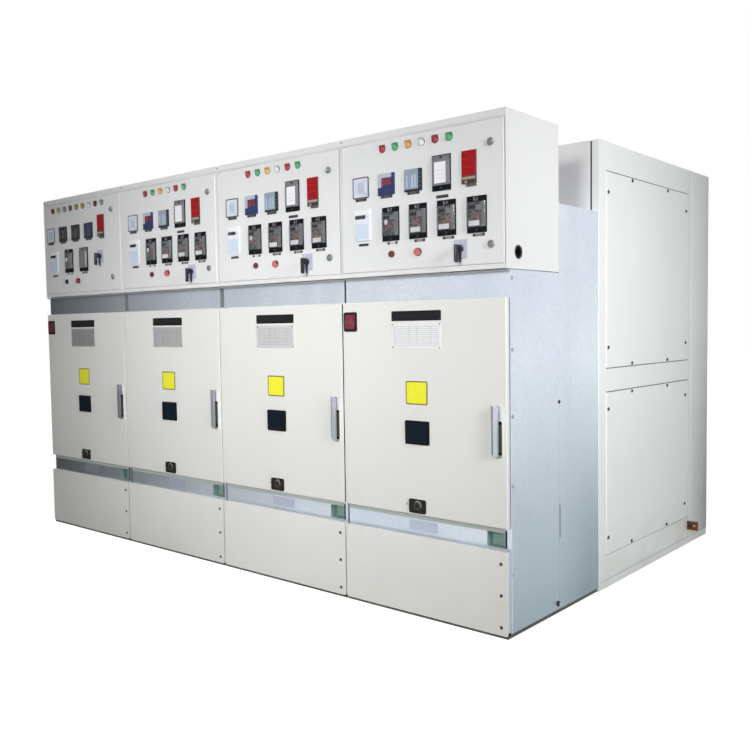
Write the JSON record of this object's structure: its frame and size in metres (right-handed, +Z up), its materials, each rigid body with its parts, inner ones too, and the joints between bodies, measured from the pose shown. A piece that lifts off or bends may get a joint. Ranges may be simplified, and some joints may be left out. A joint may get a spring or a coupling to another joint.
{
  "type": "vacuum circuit breaker switchboard",
  "caption": "Metal-clad indoor switchboard of side-by-side bays, each with an instrument door, a hinged breaker door and bolted lower cover, backed by a closed rear enclosure.",
  "frame": {"origin": "on the floor, midway across the line-up's width and midway between door faces and rear wall", "axes": "+Z up, +X along the line-up to the right of a person facing the doors, -Y out of the doors"},
  "size_m": [3.729, 2.327, 2.163],
  "materials": {
    "frame_paint": "dark satin enamel",
    "galvanised": "hot-dip galvanised sheet with a soft spangle",
    "cover_cream": "cream powder coat, fine orange peel",
    "box_white": "light grey powder coat, fine orange peel",
    "enclosure_grey": "light grey powder coat",
    "copper": "dull oxidised copper",
    "instrument_black": "fine-grained moulded plastic",
    "switch_black": "semi-gloss moulded plastic",
    "fitting_black": "fine-grained moulded plastic",
    "handle_grey": "blue-grey moulded handle"
  },
  "bodies": {
    "switchboard": {"base_rails": "frame_paint", "base_ties": "frame_paint", "cubicle_1": "galvanised", "cubicle_2": "galvanised", "cubicle_3": "galvanised", "cubicle_4": "galvanised", "lower_covers": "cover_cream", "instrument_box_1": "box_white", "instrument_box_2": "box_white", "instrument_box_3": "box_white", "instrument_box_4": "box_white", "rear_enclosure": "enclosure_grey", "end_walls": "enclosure_grey", "end_covers": "enclosure_grey", "rear_covers": "enclosure_grey", "roof_plates": "enclosure_grey", "earth_bar": "copper"},
    "instrument_door_1": {"instrument_door_1": "box_white", "instruments_1": "instrument_black"},
    "control_switch_1": {"control_switch_1": "switch_black"},
    "breaker_door_1": {"breaker_door_1": "cover_cream", "door_fittings_1": "fitting_black"},
    "door_handle_1": {"door_handle_1": "handle_grey"},
    "instrument_door_2": {"instrument_door_2": "box_white", "instruments_2": "instrument_black"},
    "control_switch_2": {"control_switch_2": "switch_black"},
    "breaker_door_2": {"breaker_door_2": "cover_cream", "door_fittings_2": "fitting_black"},
    "door_handle_2": {"door_handle_2": "handle_grey"},
    "instrument_door_3": {"instrument_door_3": "box_white", "instruments_3": "instrument_black"},
    "control_switch_3": {"control_switch_3": "switch_black"},
    "breaker_door_3": {"breaker_door_3": "cover_cream", "door_fittings_3": "fitting_black"},
    "door_handle_3": {"door_handle_3": "handle_grey"},
    "instrument_door_4": {"instrument_door_4": "box_white", "instruments_4": "instrument_black"},
    "control_switch_4": {"control_switch_4": "switch_black"},
    "breaker_door_4": {"breaker_door_4": "cover_cream", "door_fittings_4": "fitting_black"},
    "door_handle_4": {"door_handle_4": "handle_grey"}
  },
  "joints": [
    {"name": "instrument_door_1_hinge", "type": "hinge", "parent": "switchboard", "child": "instrument_door_1", "pos_m": [-1.786, -1.134, 1.82], "axis": [0, 0, -1], "range_deg": [0, 90]},
    {"name": "control_switch_1_turn", "type": "hinge", "parent": "instrument_door_1", "child": "control_switch_1", "pos_m": [-1.127, -1.159, 1.75788], "axis": [0, 1, 0], "range_deg": [-45, 45]},
    {"name": "breaker_door_1_hinge", "type": "hinge", "parent": "switchboard", "child": "breaker_door_1", "pos_m": [-1.792, -1.134, 0.93], "axis": [0, 0, -1], "range_deg": [0, 90]},
    {"name": "door_handle_1_turn", "type": "hinge", "parent": "breaker_door_1", "child": "door_handle_1", "pos_m": [-0.949, -1.159, 0.94911], "axis": [0, 1, 0], "range_deg": [0, 90]},
    {"name": "instrument_door_2_hinge", "type": "hinge", "parent": "switchboard", "child": "instrument_door_2", "pos_m": [-0.886, -1.134, 1.82], "axis": [0, 0, -1], "range_deg": [0, 90]},
    {"name": "control_switch_2_turn", "type": "hinge", "parent": "instrument_door_2", "child": "control_switch_2", "pos_m": [-0.22, -1.159, 1.614], "axis": [0, 1, 0], "range_deg": [-45, 45]},
    {"name": "breaker_door_2_hinge", "type": "hinge", "parent": "switchboard", "child": "breaker_door_2", "pos_m": [-0.892, -1.134, 0.93], "axis": [0, 0, -1], "range_deg": [0, 90]},
    {"name": "door_handle_2_turn", "type": "hinge", "parent": "breaker_door_2", "child": "door_handle_2", "pos_m": [-0.049, -1.159, 0.94911], "axis": [0, 1, 0], "range_deg": [0, 90]},
    {"name": "instrument_door_3_hinge", "type": "hinge", "parent": "switchboard", "child": "instrument_door_3", "pos_m": [0.014, -1.134, 1.82], "axis": [0, 0, -1], "range_deg": [0, 90]},
    {"name": "control_switch_3_turn", "type": "hinge", "parent": "instrument_door_3", "child": "control_switch_3", "pos_m": [0.68, -1.159, 1.614], "axis": [0, 1, 0], "range_deg": [-45, 45]},
    {"name": "breaker_door_3_hinge", "type": "hinge", "parent": "switchboard", "child": "breaker_door_3", "pos_m": [0.008, -1.134, 0.93], "axis": [0, 0, -1], "range_deg": [0, 90]},
    {"name": "door_handle_3_turn", "type": "hinge", "parent": "breaker_door_3", "child": "door_handle_3", "pos_m": [0.851, -1.159, 0.94911], "axis": [0, 1, 0], "range_deg": [0, 90]},
    {"name": "instrument_door_4_hinge", "type": "hinge", "parent": "switchboard", "child": "instrument_door_4", "pos_m": [0.914, -1.134, 1.82], "axis": [0, 0, -1], "range_deg": [0, 90]},
    {"name": "control_switch_4_turn", "type": "hinge", "parent": "instrument_door_4", "child": "control_switch_4", "pos_m": [1.58, -1.159, 1.614], "axis": [0, 1, 0], "range_deg": [-45, 45]},
    {"name": "breaker_door_4_hinge", "type": "hinge", "parent": "switchboard", "child": "breaker_door_4", "pos_m": [0.908, -1.134, 0.93], "axis": [0, 0, -1], "range_deg": [0, 90]},
    {"name": "door_handle_4_turn", "type": "hinge", "parent": "breaker_door_4", "child": "door_handle_4", "pos_m": [1.751, -1.159, 0.94911], "axis": [0, 1, 0], "range_deg": [0, 90]}
  ]
}
